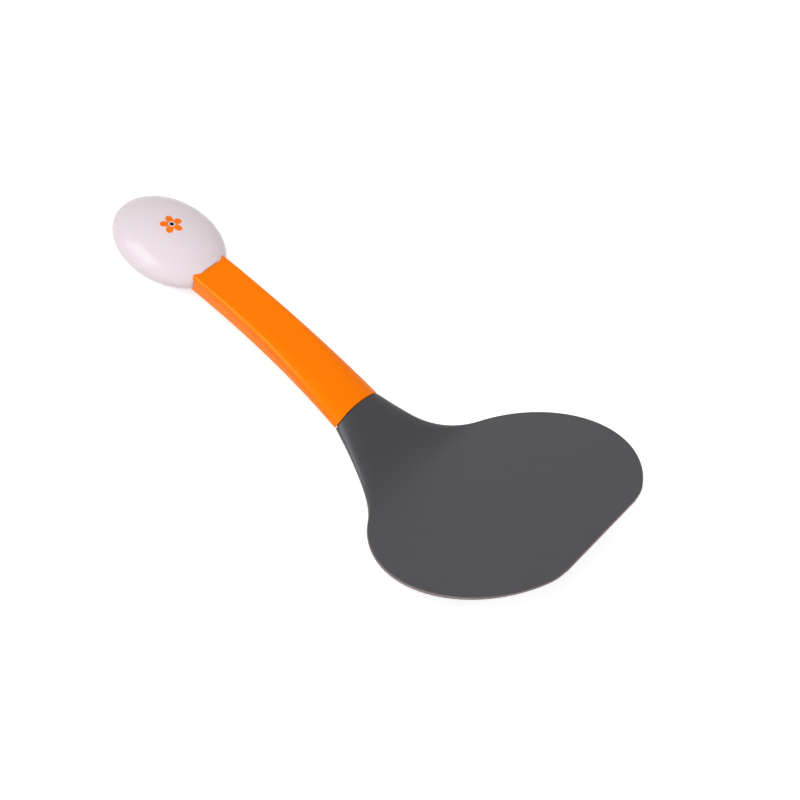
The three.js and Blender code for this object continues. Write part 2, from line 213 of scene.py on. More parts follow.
class TurnerHandleSizes(bpy.types.PropertyGroup):
    """Sizes of the two handle shells."""

    reach: length("Length", "Length along the two legs of the arch", 93.0)
    first_leg: share("First leg", "Share of the length before the knee of the arch", 0.457)
    egg_angle: angle("Egg angle", "Slope of the handle where it meets the egg", 28.2)
    neck_half_width: length("Neck half width", "Half width at the neck", 13.9)
    egg_half_width: length("Egg half width", "Half width at the egg", 10.3)
    neck_half_height: length("Neck half height", "Half height at the neck", 4.95)
    egg_half_height: length("Egg half height", "Half height at the egg", 4.7)
    neck_round: share("Neck round", "Roundness of the section at the neck", 0.93)
    egg_round_across: share("Egg round across", "Corner width at the egg, of the half width", 0.15)
    egg_round_up: share("Egg round up", "Corner height at the egg, of the half height", 0.42)
    wall: length("Wall", "Wall thickness of the shells", 2.2)
    seam: length("Seam", "Gap between the two shells", 0.3)
    seam_rise: length("Seam rise", "Height of the seam over the centre line at the egg", 2.2)
    neck_gap: length("Neck gap", "Shadow gap at the neck", 0.5)
    egg_gap: length("Egg gap", "Shadow gap at the egg", 0.2)
    tenon: length("Tenon", "Length of the stub inside the egg", 15.0)
    tenon_step: length("Tenon step", "How far the stub steps in", 2.4)
    end_wall: length("End wall", "Thickness of the wall behind the stub", 3.9)
    horn: length("Horns", "How far the corners run on to meet the egg", 2.5)
    rim: length("Rim", "Rounding of the rim at the neck", 0.12)


class TurnerEggSizes(bpy.types.PropertyGroup):
    """Sizes of the two egg shells."""

    reach: length("Length", "Egg along the handle", 57.0)
    width: length("Width", "Egg across", 45.4)
    thickness: length("Thickness", "Egg front to back", 23.2)
    seat: share("Seat", "Distance of the flat seat from the centre, of the half length", 0.888)
    wall: length("Wall", "Wall thickness", 2.0)
    mouth: length("Mouth edge", "Width of the flat round the opening for the stub", 0.9)
    seam: length("Seam", "Gap between the two shells", 0.04)
    rim: length("Rim", "Rounding of the shell rims", 0.12)
    blossom: length("Blossom", "Radius of the printed blossom", 5.4)


class TurnerColours(bpy.types.PropertyGroup):
    """Colours of the finishes."""

    blade: colour("Blade", "Matte nylon", 64, 63, 67)
    # Painted highlight: the pale colour laid along the blade's rounded rim in place of light caught by
    # the edge.
    blade_edge_highlight: colour("Blade edge", "Thin edge of the nylon", 128, 112, 108)
    handle: colour("Handle", "Glossy moulding", 254, 124, 2)
    egg: colour("Egg", "Glossy moulding", 226, 213, 219)
    petals: colour("Petals", "Printed blossom", 250, 122, 20)
    heart: colour("Blossom heart", "Printed centre", 18, 17, 18)
    floor: colour("Floor", "Stage floor", 232, 232, 232)


def mix(low, high, part):
    """The value that lies a part of the way from low to high."""
    return low + (high - low) * part


def only(piece):
    """Makes a piece the one selected and active object."""
    if bpy.context.object and bpy.context.object.mode != "OBJECT":
        bpy.ops.object.mode_set(mode="OBJECT")
    bpy.ops.object.select_all(action="DESELECT")
    piece.select_set(True)
    bpy.context.view_layer.objects.active = piece


def named(name):
    """The object that was just added, under its own name."""
    piece = bpy.context.object
    piece.name = name
    piece.data.name = name
    return piece


def settle(piece):
    """Puts the place, turn and scale of a piece into its mesh."""
    only(piece)
    bpy.ops.object.transform_apply(location=True, rotation=True, scale=True)


def edit(piece):
    """Opens a piece for editing, with nothing selected."""
    only(piece)
    bpy.ops.object.mode_set(mode="EDIT")
    bpy.ops.mesh.select_mode(type="VERT")
    bpy.ops.mesh.select_all(action="DESELECT")


def leave():
    bpy.ops.object.mode_set(mode="OBJECT")


def pick_points(piece, wanted):
    """Selects the points of an edited piece that pass a test, and says how many there are."""
    mesh = bmesh.from_edit_mesh(piece.data)
    count = 0
    for point in mesh.verts:
        chosen = wanted(point)
        point.select_set(chosen)
        count += chosen
    mesh.select_flush(True)
    mesh.select_flush(False)
    bmesh.update_edit_mesh(piece.data)
    return count


def pick_faces(piece, wanted):
    """Selects the faces of an edited piece that pass a test."""
    mesh = bmesh.from_edit_mesh(piece.data)
    mesh.select_mode = {"FACE"}
    count = 0
    for face in mesh.faces:
        chosen = wanted(face)
        face.select_set(chosen)
        count += chosen
    mesh.select_flush_mode()
    bmesh.update_edit_mesh(piece.data)
    if not count:
        raise RuntimeError("no face of " + piece.name + " fits the choice")


def pick_edges(piece, wanted):
    """Selects the edges of an edited piece that pass a test."""
    mesh = bmesh.from_edit_mesh(piece.data)
    mesh.select_mode = {"EDGE"}
    for edge in mesh.edges:
        edge.select_set(wanted(edge))
    mesh.select_flush_mode()
    bmesh.update_edit_mesh(piece.data)


def move(x, y, z):
    bpy.ops.transform.translate(value=(x, y, z))


def size_about(scale, centre):
    bpy.ops.transform.resize(value=scale, center_override=centre)


def cut(place, normal, **settings):
    """Cuts all of the edited piece with a plane."""
    bpy.ops.mesh.select_mode(type="VERT")
    bpy.ops.mesh.select_all(action="SELECT")
    bpy.ops.mesh.bisect(plane_co=place, plane_no=normal, **settings)


def finish_modifier(piece, kind, **settings):
    """Adds a modifier, sets it up and applies it."""
    only(piece)
    modifier = piece.modifiers.new(kind.lower(), kind)
    for name, value in settings.items():
        setattr(modifier, name, value)
    bpy.ops.object.modifier_apply(modifier=modifier.name)


def tidy_mesh(piece):
    """Joins doubled points, clears slivers and turns the faces outward."""
    edit(piece)
    bpy.ops.mesh.select_all(action="SELECT")
    for _ in range(2):
        bpy.ops.mesh.remove_doubles(threshold=SAME_POINT)
        bpy.ops.mesh.dissolve_degenerate(threshold=TOUCH)
    bpy.ops.mesh.normals_make_consistent(inside=False)
    leave()


def smooth(piece):
    """Shades a piece smooth, with its sharper edges kept."""
    only(piece)
    bpy.ops.object.shade_smooth_by_angle(angle=SMOOTH_ANGLE)
    finish_modifier(piece, "WEIGHTED_NORMAL", mode="FACE_AREA", weight=60, keep_sharp=True)


def lay_down(piece):
    """Turns a piece from the level blade to the tool's rest on the table, in its mesh."""
    piece.rotation_euler = (0.0, -REST_LEAN, 0.0)
    piece.location = (REST_X, 0.0, REST_Z)
    settle(piece)


class Station:
    """One section of a sweep: where it lies along the straight sweep, its place and slope in the side
    view, its half width, half height and the half axes of its corners, and the height of the seam."""

    def __init__(
        self, along, x, z, slope, half_width, half_height, corner_width, corner_height, seam=0.0
    ):
        self.along = along
        self.x = x
        self.z = z
        self.slope = slope
        self.half_width = half_width
        self.half_height = half_height
        self.corner_width = corner_width
        self.corner_height = corner_height
        self.seam = seam

    @property
    def flat_width(self):
        return self.half_width - self.corner_width

    @property
    def flat_height(self):
        return self.half_height - self.corner_height


def start_section(name, station, corner_steps):
    """A filled section with round corners, square to X, left open for editing."""
    bpy.ops.object.select_all(action="DESELECT")
    bpy.ops.mesh.primitive_plane_add(size=2.0, rotation=(0.0, math.pi / 2, 0.0))
    piece = named(name)
    tall = station.half_height / station.corner_height
    wide = station.half_width / station.corner_width
    piece.scale = (tall, wide, 1.0)
    settle(piece)
    edit(piece)
    bpy.ops.mesh.select_all(action="SELECT")
    bpy.ops.mesh.bevel(
        offset=1.0, segments=corner_steps, affect="VERTICES", profile=0.5, clamp_overlap=False
    )
    bpy.ops.mesh.delete(type="ONLY_FACE")
    flat = 2.0 * (wide - 1.0)
    pick_edges(piece, lambda e: abs(e.verts[0].co.y - e.verts[1].co.y) > flat * FLAT_EDGE)
    bpy.ops.mesh.subdivide(number_cuts=FLAT_CUTS)
    bpy.ops.mesh.select_mode(type="VERT")
    bpy.ops.mesh.select_all(action="SELECT")
    bpy.ops.mesh.edge_face_add()
    size_about((1.0, station.corner_width, station.corner_height), (0.0, 0.0, 0.0))
    move(station.along, 0.0, 0.0)
    bpy.ops.mesh.select_mode(type="FACE")
    bpy.ops.mesh.select_all(action="SELECT")
    return piece


def reshape_section(piece, old, new):
    """Takes the section that was just extruded from its old form to its new one: the flats are spread
    and each corner is scaled about its own centre and carried along."""
    corners = {}
    flats = set()
    for point in bmesh.from_edit_mesh(piece.data).verts:
        if abs(point.co.x - new.along) > TOUCH:
            continue
        if abs(point.co.y) < old.flat_width * FLAT_POINT:
            flats.add(point.index)
        else:
            corners.setdefault((point.co.y > 0.0, point.co.z > 0.0), set()).add(point.index)
    bpy.ops.mesh.select_mode(type="VERT")
    pick_points(piece, lambda p: p.index in flats)
    spread = (1.0, new.flat_width / old.flat_width, new.half_height / old.half_height)
    size_about(spread, (new.along, 0.0, 0.0))
    grow = (1.0, new.corner_width / old.corner_width, new.corner_height / old.corner_height)
    for (right, top), points in corners.items():
        side = 1.0 if right else -1.0
        rise = 1.0 if top else -1.0
        pick_points(piece, lambda p: p.index in points)
        size_about(grow, (new.along, side * old.flat_width, rise * old.flat_height))
        move(0.0, side * (new.flat_width - old.flat_width), rise * (new.flat_height - old.flat_height))


def sweep(name, stations, corner_steps=ROUND_STEPS):
    """A closed bar extruded section by section along X."""
    piece = start_section(name, stations[0], corner_steps)
    for old, new in zip(stations, stations[1:]):
        bpy.ops.mesh.select_mode(type="FACE")
        pick_faces(piece, lambda f: len(f.verts) > 4 and abs(f.verts[0].co.x - old.along) < TOUCH)
        step = new.along - old.along
        bpy.ops.mesh.extrude_region_move(TRANSFORM_OT_translate={"value": (step, 0.0, 0.0)})
        reshape_section(piece, old, new)
    leave()
    tidy_mesh(piece)
    return piece


def each_section(piece, stations):
    """Selects in turn the points that lie nearest to each station."""
    owners = []
    for point in piece.data.vertices:
        owners.append(min(range(len(stations)), key=lambda k: abs(stations[k].along - point.co.x)))
    edit(piece)
    for number, station in enumerate(stations):
        if pick_points(piece, lambda p: owners[p.index] == number):
            yield station
    leave()


def level_seam(piece, stations):
    """Lowers each section so that the seam runs level."""
    for station in each_section(piece, stations):
        move(0.0, 0.0, -station.seam)


def bend_into_place(piece, stations):
    """Carries each section of a straight sweep to its place and slope in the side view."""
    for station in each_section(piece, stations):
        move(0.0, 0.0, station.seam)
        if station.slope:
            centre = (station.along, 0.0, 0.0)
            bpy.ops.transform.rotate(value=-station.slope, orient_axis="Y", center_override=centre)
        move(station.x - station.along, 0.0, station.z)


def bow_joint(piece, shape, joint):
    """Pushes the middle of the sections round the neck joint toward the egg."""
    reach = shape.handle.neck_half_width
    group = piece.vertex_groups.new(name="bow")
    for point in piece.data.vertices:
        fade = max(0.0, 1.0 - abs(point.co.x - joint) / shape.blade.bow_run)
        across = max(0.0, 1.0 - (point.co.y / reach) ** 2)
        group.add([point.index], fade * fade * across, "REPLACE")
    finish_modifier(
        piece, "DISPLACE", direction="X", mid_level=0.0, strength=-shape.blade.bow, vertex_group="bow"
    )
    piece.vertex_groups.clear()


def combine(piece, other, operation):
    """Cuts or joins a piece with another one, which is used up."""
    finish_modifier(piece, "BOOLEAN", operation=operation, object=other, solver="EXACT")
    only(other)
    bpy.ops.object.delete()


class Shape:
    """The side view and the sections of the tool, from its sizes."""

    def __init__(self, blade, handle, egg):
        self.blade = blade
        self.handle = handle
        self.egg = egg
        bend_end_x = -blade.bend_radius * math.sin(blade.neck_angle)
        bend_end_z = blade.heel_thickness / 2 + blade.bend_radius * (1 - math.cos(blade.neck_angle))
        self.bend_end = Vector((bend_end_x, bend_end_z))
        self.bend_length = blade.bend_radius * blade.neck_angle
        self.neck_length = self.bend_length + blade.neck_straight
        self.neck = self.bend_end + self.back(blade.neck_angle) * blade.neck_straight
        self.first_leg = handle.reach * handle.first_leg
        self.second_leg = handle.reach - self.first_leg
        self.knee = self.neck + self.back(blade.neck_angle) * self.first_leg
        self.egg_joint = self.knee + self.back(handle.egg_angle) * self.second_leg

    @staticmethod
    def back(slope):
        """The way toward the egg at a slope."""
        return Vector((-math.cos(slope), math.sin(slope)))

    def handle_place(self, t):
        """Place and slope of the arch at t, from 0 at the neck to 1 at the egg."""
        one = self.neck.lerp(self.knee, t)
        two = self.knee.lerp(self.egg_joint, t)
        way = two - one
        return one.lerp(two, t), math.atan2(way.y, -way.x)

    def handle_section(self, t, margin):
        """Half width, half height and corner axes of the handle at t, drawn in by a margin."""
        handle = self.handle
        rest = (1.0 - t) ** 2
        half_width = mix(handle.egg_half_width, handle.neck_half_width, rest) - margin
        half_height = mix(handle.neck_half_height, handle.egg_half_height, t) - margin
        across = mix(handle.egg_round_across, handle.neck_round, rest) * half_width
        up = mix(handle.egg_round_up, handle.neck_round, rest) * half_height
        return half_width, half_height, across, up

    def handle_stations(self, start, end, steps, margin, along=0.0):
        """Stations along the arch, with their straight distance counted back from along."""
        stations = []
        before = None
        for step in range(steps + 1):
            t = mix(start, end, step / steps)
            place, slope = self.handle_place(t)
            if before is not None:
                along -= (place - before).length
            before = place
            seam = self.handle.seam_rise * (1.0 - (1.0 - t) ** 2)
            section = self.handle_section(t, margin)
            stations.append(Station(along, place.x, place.y, slope, *section, seam))
        return stations

    def past_egg_joint(self, last, distance, margin):
        """A station beyond the last one of the handle, on the axis of the egg."""
        place = self.egg_joint + self.back(self.handle.egg_angle) * distance
        section = self.handle_section(1.0, margin)
        return Station(last.along - distance, place.x, place.y, last.slope, *section, last.seam)

    def blade_outline(self):
        """Half width of the blade at each x, from the front edge back to the handle."""
        blade = self.blade
        radius = blade.lobe * blade.reach
        centre_x = blade.lobe_centre * blade.reach
        centre_y = blade.width / 2 - radius
        corner_x = blade.reach - blade.front_thickness / 2 - blade.corner
        inner = radius - blade.corner
        away = corner_x - centre_x
        corner_y = centre_y + math.sqrt(inner * inner - away * away)
        corner_turn = math.acos(away / inner)
        outline = []
        for step in range(FRONT_CORNER_STEPS + 1):
            turn = corner_turn * step / FRONT_CORNER_STEPS
            x = corner_x + blade.corner * math.cos(turn)
            y = corner_y + blade.corner * math.sin(turn)
            outline.append((x, y))
        end_turn = math.acos((-blade.lobe_end * blade.reach - centre_x) / radius)
        for step in range(1, LOBE_STEPS + 1):
            turn = mix(corner_turn, end_turn, step / LOBE_STEPS)
            outline.append((centre_x + radius * math.cos(turn), centre_y + radius * math.sin(turn)))
        lobe_x, lobe_y = outline[-1]
        lobe_slope = -1.0 / math.tan(end_turn)
        neck_y = self.handle.neck_half_width
        run = lobe_x - self.neck.x
        control = (lobe_y - neck_y - lobe_slope * run) / (blade.flare - lobe_slope)
        for step in range(1, NECK_STEPS + 1):
            t = step / NECK_STEPS
            rest = 1 - t
            x = rest * rest * lobe_x + 2 * rest * t * (self.neck.x + control) + t * t * self.neck.x
            y = rest * rest * lobe_y + 2 * rest * t * (neck_y + blade.flare * control) + t * t * neck_y
            outline.append((x, y))
        return outline

    def blade_station(self, x, half_width):
        """The blade at x: flat before the heel, bent behind it, then straight up to the handle."""
        blade = self.blade
        slope = 0.0
        along = 0.0
        if x < self.bend_end.x:
            slope = blade.neck_angle
            run = self.bend_end.x - x
            along = self.bend_length + run / math.cos(slope)
            z = self.bend_end.y + run * math.tan(slope)
        elif x < 0.0:
            slope = math.asin(-x / blade.bend_radius)
            along = blade.bend_radius * slope
            z = blade.heel_thickness / 2 + blade.bend_radius * (1 - math.cos(slope))
        part = (along / self.neck_length) ** NECK_SWELL
        if x < 0.0:
            thickness = mix(blade.heel_thickness, 2 * self.handle.neck_half_height, part)
        else:
            thickness = mix(blade.heel_thickness, blade.front_thickness, x / blade.reach)
            z = thickness / 2
        half_height = thickness / 2
        corner = mix(half_height, self.handle.neck_round * half_width, part)
        straight = x if x >= 0.0 else -along
        return Station(
            straight, x, z, slope, half_width, half_height, corner, self.handle.neck_round * half_height
        )


def shape_of(context):
    """The form that the scene's sizes give."""
    scene = context.scene
    return Shape(scene.turner_blade, scene.turner_handle, scene.turner_egg)


class Nodes:
    """Places nodes in a tree and links them."""

    def __init__(self, tree):
        self.tree = tree

    def add(self, kind, **settings):
        node = self.tree.nodes.new(kind)
        for name, value in settings.items():
            setattr(node, name, value)
        return node

    def link(self, source, target):
        self.tree.links.new(source, target)

    def feed(self, target, value):
        if isinstance(value, bpy.types.NodeSocket):
            self.link(value, target)
        else:
            target.default_value = value

    def sum(self, operation, *values, clamp=False):
        node = self.add("ShaderNodeMath", operation=operation, use_clamp=clamp)
        for target, value in zip(node.inputs, values):
            self.feed(target, value)
        return node.outputs[0]

    def noise(self, coordinates, scale, detail=2.0, rough=0.5):
        node = self.add("ShaderNodeTexNoise")
        self.link(coordinates, node.inputs["Vector"])
        self.feed(node.inputs["Scale"], scale)
        node.inputs["Detail"].default_value = detail
        node.inputs["Roughness"].default_value = rough
        return node.outputs["Fac"]

    def span(self, value, low, high, to_low=0.0, to_high=1.0, kind="SMOOTHSTEP"):
        node = self.add("ShaderNodeMapRange", interpolation_type=kind)
        self.feed(node.inputs["Value"], value)
        self.feed(node.inputs["From Min"], low)
        self.feed(node.inputs["From Max"], high)
        self.feed(node.inputs["To Min"], to_low)
        self.feed(node.inputs["To Max"], to_high)
        return node.outputs["Result"]

    def blend(self, part, low, high):
        node = self.add("ShaderNodeMix", data_type="RGBA")
        self.feed(node.inputs["Factor"], part)
        self.feed(node.inputs[6], low)
        self.feed(node.inputs[7], high)
        return node.outputs[2]


def opaque(values):
    return (values[0], values[1], values[2], 1.0)


def node_group(name, inputs, outputs):
    """A new node group, with its nodes and the ends that lead in and out of it."""
    group = bpy.data.node_groups.new(name, "ShaderNodeTree")
    for way, ends in (("INPUT", inputs), ("OUTPUT", outputs)):
        for end, kind in ends.items():
            group.interface.new_socket(name=end, in_out=way, socket_type="NodeSocket" + kind)
    put = Nodes(group)
    return group, put, put.add("NodeGroupInput").outputs, put.add("NodeGroupOutput").inputs


def moulded_skin_group():
    """Tone and gloss that wander over a moulded skin, and the height of its fine grain."""
    values = dict.fromkeys(("Tone", "Roughness", "Wander", "Grain"), "Float")
    inputs = {"Vector": "Vector", "Colour": "Color", **values}
    outputs = {"Colour": "Color", "Roughness": "Float", "Height": "Float"}
    group, put, given, out = node_group("moulded_skin", inputs, outputs)
    broad = put.noise(given["Vector"], scale=34.0, detail=3.0, rough=0.55)
    smear = put.noise(given["Vector"], scale=120.0, detail=4.0, rough=0.6)
    fine = put.noise(given["Vector"], scale=given["Grain"], detail=3.0)
    tone = put.sum("MULTIPLY", put.sum("SUBTRACT", broad, 0.5), given["Tone"])
    bright = put.sum("ADD", tone, 1.0)
    scale = put.add("ShaderNodeVectorMath", operation="SCALE")
    put.link(given["Colour"], scale.inputs[0])
    put.link(bright, scale.inputs["Scale"])
    put.link(scale.outputs[0], out["Colour"])
    spread = put.sum("MULTIPLY", put.sum("SUBTRACT", smear, 0.5), given["Wander"])
    put.link(put.sum("ADD", given["Roughness"], spread, clamp=True), out["Roughness"])
    put.link(fine, out["Height"])
    return group


class Skin:
    """A material with the shared moulded skin."""

    def __init__(self, name, base, specular):
        self.material = bpy.data.materials.new(name)
        self.material.use_nodes = True
        self.put = Nodes(self.material.node_tree)
        self.shader = self.material.node_tree.nodes["Principled BSDF"]
        self.shader.inputs["Specular IOR Level"].default_value = specular
        self.coordinates = self.put.add("ShaderNodeTexCoord").outputs["Object"]
        group = bpy.data.node_groups.get("moulded_skin") or moulded_skin_group()
        self.node = self.put.add("ShaderNodeGroup", node_tree=group)
        self.node.inputs["Colour"].default_value = opaque(base)
        self.put.link(self.coordinates, self.node.inputs["Vector"])
        self.colour = self.node.outputs["Colour"]
        self.cover(self.colour)

    def wear(self, tone, roughness, wander, grain, bump):
        """Sets how much the tone and the gloss wander, and how fine and deep the grain is."""
        self.node.inputs["Tone"].default_value = tone
        self.node.inputs["Roughness"].default_value = roughness
        self.node.inputs["Wander"].default_value = wander
        self.node.inputs["Grain"].default_value = grain
        self.put.link(self.node.outputs["Roughness"], self.shader.inputs["Roughness"])
        relief = self.put.add("ShaderNodeBump")
        relief.inputs["Strength"].default_value = bump
        relief.inputs["Distance"].default_value = GRAIN_HEIGHT
        self.put.link(self.node.outputs["Height"], relief.inputs["Height"])
        self.put.link(relief.outputs["Normal"], self.shader.inputs["Normal"])

    def cover(self, colour_output):
        """Takes the colour of the surface from an output."""
        self.put.link(colour_output, self.shader.inputs["Base Color"])


def nylon(colours):
    """Matte nylon with a fine grain, specks of dust and a painted highlight, a paler line along its
    rounded rim.
    """
    skin = Skin("blade_nylon", colours.blade, specular=0.5)
    skin.wear(tone=0.06, roughness=0.5, wander=0.1, grain=2600.0, bump=0.35)
    put = skin.put
    # Painted highlight: a pale line blended over the rounded rim, following the rim mask.
    rim = put.add("ShaderNodeAttribute", attribute_name="rim").outputs["Fac"]
    edge = put.span(rim, *HIGHLIGHT_FADE, to_high=HIGHLIGHT_COVER)
    body = put.blend(edge, skin.colour, opaque(colours.blade_edge_highlight))
    cells = put.add("ShaderNodeTexVoronoi", feature="F1")
    put.link(skin.coordinates, cells.inputs["Vector"])
    cells.inputs["Scale"].default_value = DUST_CELLS
    near = put.span(cells.outputs["Distance"], *DUST_FADE, to_low=1.0, to_high=0.0)
    chance = put.add("ShaderNodeSeparateColor")
    put.link(cells.outputs["Color"], chance.inputs[0])
    rare = put.sum("GREATER_THAN", chance.outputs[0], DUST_CLEAN)
    dust = put.sum("MULTIPLY", put.sum("MULTIPLY", near, rare), DUST_COVER)
    skin.cover(put.blend(dust, body, DUST_COLOUR))
    return skin.material


def orange_moulding(colours):
    """Glossy plastic with faint handling smears."""
    skin = Skin("handle_gloss", colours.handle, specular=0.2)
    skin.wear(tone=0.03, roughness=0.12, wander=0.06, grain=900.0, bump=0.03)
    skin.shader.inputs["Specular Tint"].default_value = HANDLE_SHINE
    return skin.material


def blossom_group():
    """Masks of a five-petal blossom and its heart on the front of a plane."""
    inputs = {"Vector": "Vector", "Radius": "Float"}
    outputs = {"Petals": "Float", "Heart": "Float"}
    group, put, given, out = node_group("blossom_print", inputs, outputs)
    split = put.add("ShaderNodeSeparateXYZ")
    put.link(given["Vector"], split.inputs[0])
    x, y, z = split.outputs
    far = put.sum("SQRT", put.sum("ADD", put.sum("MULTIPLY", x, x), put.sum("MULTIPLY", y, y)))
    part = put.sum("DIVIDE", far, given["Radius"])
    turn = put.sum("MULTIPLY", put.sum("ARCTAN2", y, x), PETALS)
    wave = put.sum("ABSOLUTE", put.sum("COSINE", put.sum("MULTIPLY", turn, 0.5)))
    petal = put.sum("MULTIPLY", put.sum("POWER", wave, PETAL_ROUND), PETAL_REACH)
    reach = put.sum("ADD", petal, PETAL_WAIST)
    inside = put.span(put.sum("SUBTRACT", reach, part), *PETAL_FADE)
    front = put.sum("GREATER_THAN", z, 0.0)
    hole = put.span(part, *RING_FADE)
    put.link(put.sum("MULTIPLY", put.sum("MULTIPLY", inside, front), hole), out["Petals"])
    heart = put.span(part, *HEART_FADE, to_low=1.0, to_high=0.0)
    put.link(put.sum("MULTIPLY", heart, front), out["Heart"])
    return group


def egg_moulding(colours, sizes, centre, tilt):
    """Glossy pinkish white plastic with a small printed blossom on its front."""
    skin = Skin("egg_gloss", colours.egg, specular=0.17)
    skin.wear(tone=0.025, roughness=0.06, wander=0.03, grain=700.0, bump=0.02)
    put = skin.put
    turned = put.add("ShaderNodeMapping", vector_type="TEXTURE")
    put.link(skin.coordinates, turned.inputs["Vector"])
    turned.inputs["Location"].default_value = centre
    turned.inputs["Rotation"].default_value = (0.0, tilt, BLOSSOM_TURN)
    group = bpy.data.node_groups.get("blossom_print") or blossom_group()
    blossom = put.add("ShaderNodeGroup", node_tree=group)
    put.link(turned.outputs[0], blossom.inputs["Vector"])
    blossom.inputs["Radius"].default_value = sizes.blossom
    petals = put.blend(blossom.outputs["Petals"], skin.colour, opaque(colours.petals))
    skin.cover(put.blend(blossom.outputs["Heart"], petals, opaque(colours.heart)))
    return skin.material


def hand_over(piece, material, node):
    """Gives a finished piece its material and its body, and hides the CAD node that it stands for."""
    piece.data.materials.clear()
    piece.data.materials.append(material)
    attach(piece, BODY)
    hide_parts(node)


class MESH_OT_turner_blade(bpy.types.Operator):
    """Sweeps the blade from its front edge through the neck to the end of the tang"""

    bl_idname = "mesh.turner_blade"
    bl_label = "Blade"

    def execute(self, context):
        shape = shape_of(context)
        blade = [shape.blade_station(x, half_width) for x, half_width in shape.blade_outline()]
        tip = self.tip(blade[0], shape.blade.front_thickness)
        neck_end = self.neck_end(shape, blade[-1])
        stations = tip + blade + neck_end
        piece = sweep("turner_blade", stations)
        self.mark_highlight_rim(piece, stations, shape.blade)
        bow_joint(piece, shape, neck_end[0].along)
        bend_into_place(piece, stations)
        smooth(piece)
        lay_down(piece)
        hand_over(piece, nylon(context.scene.turner_colours), "blade")
        return {"FINISHED"}

    @staticmethod
    def tip(front, thickness):
        """Stations that round the front edge, the outermost first."""
        stations = []
        for part in TIP_PARTS:
            depth = thickness / 2 * math.sqrt(1.0 - part * part)
            half_width = front.half_width - (1 - part) * TIP_DRAW
            corner = (front.corner_width * part, front.corner_height * part)
            section = (half_width, front.half_height * part, *corner)
            stations.append(Station(front.along + depth, front.x + depth, front.z, 0.0, *section))
        return stations

    @staticmethod
    def neck_end(shape, last):
        """Draws the last station back by the rim and gives the shoulder, the collar and the tang."""
        blade = shape.blade
        way = shape.back(last.slope)
        joint = last.along
        last.along += blade.neck_rim
        last.x -= way.x * blade.neck_rim
        last.z -= way.y * blade.neck_rim
        section = shape.handle_section(0.0, blade.neck_rim * NECK_RIM_TAPER)
        shoulder = Station(joint, shape.neck.x, shape.neck.y, last.slope, *section)
        foot = COLLAR_SHARE * shape.handle.neck_gap / (2 * shape.first_leg)
        collar = shape.handle_stations(0.0, foot, 1, blade.collar, joint - SHORT_STEP)
        margin = shape.handle.wall + blade.tang_play
        along = collar[-1].along - SHORT_STEP
        tang = shape.handle_stations(foot, blade.tang_end, TANG_STEPS, margin, along)
        return [shoulder] + collar + tang

    @staticmethod
    def mark_highlight_rim(piece, stations, blade):
        """Notes for each point how near it is to the outermost line of the rim, where the painted
        highlight lies.
        """
        rim = piece.data.attributes.new("rim", "FLOAT", "POINT")
        for point in piece.data.vertices:
            station = min(stations, key=lambda s: abs(s.along - point.co.x))
            out = (abs(point.co.y) - station.flat_width) / station.corner_width
            if station.along > blade.reach - blade.front_thickness * FRONT_SHARE:
                out = 1.0
            fade = min(1.0, max(0.0, (station.along + HIGHLIGHT_RUN) / HIGHLIGHT_RUN))
            rim.data[point.index].value = max(0.0, out) * fade


def egg_ball(name, shape, grow, segments):
    """The whole egg, grown on all sides, with its poles along X."""
    egg = shape.egg
    bpy.ops.object.select_all(action="DESELECT")
    bpy.ops.mesh.primitive_uv_sphere_add(
        segments=segments, ring_count=segments * 2 // 3, radius=1.0, rotation=(0.0, math.pi / 2, 0.0)
    )
    piece = named(name)
    settle(piece)
    piece.scale = (egg.reach / 2 + grow, egg.width / 2 + grow, egg.thickness / 2 + grow)
    settle(piece)
    return piece


def grown_egg(shape, seat):
    """The egg with its gap added all round, cut flat at the end of the straight sweep."""
    egg = shape.egg
    piece = egg_ball("grown_egg", shape, shape.handle.egg_gap, GROWN_EGG_SEGMENTS)
    piece.location = (seat - egg.seat * egg.reach / 2, 0.0, 0.0)
    settle(piece)
    edit(piece)
    cut((seat, 0.0, 0.0), (1.0, 0.0, 0.0), use_fill=True, clear_outer=True)
    leave()
    return piece


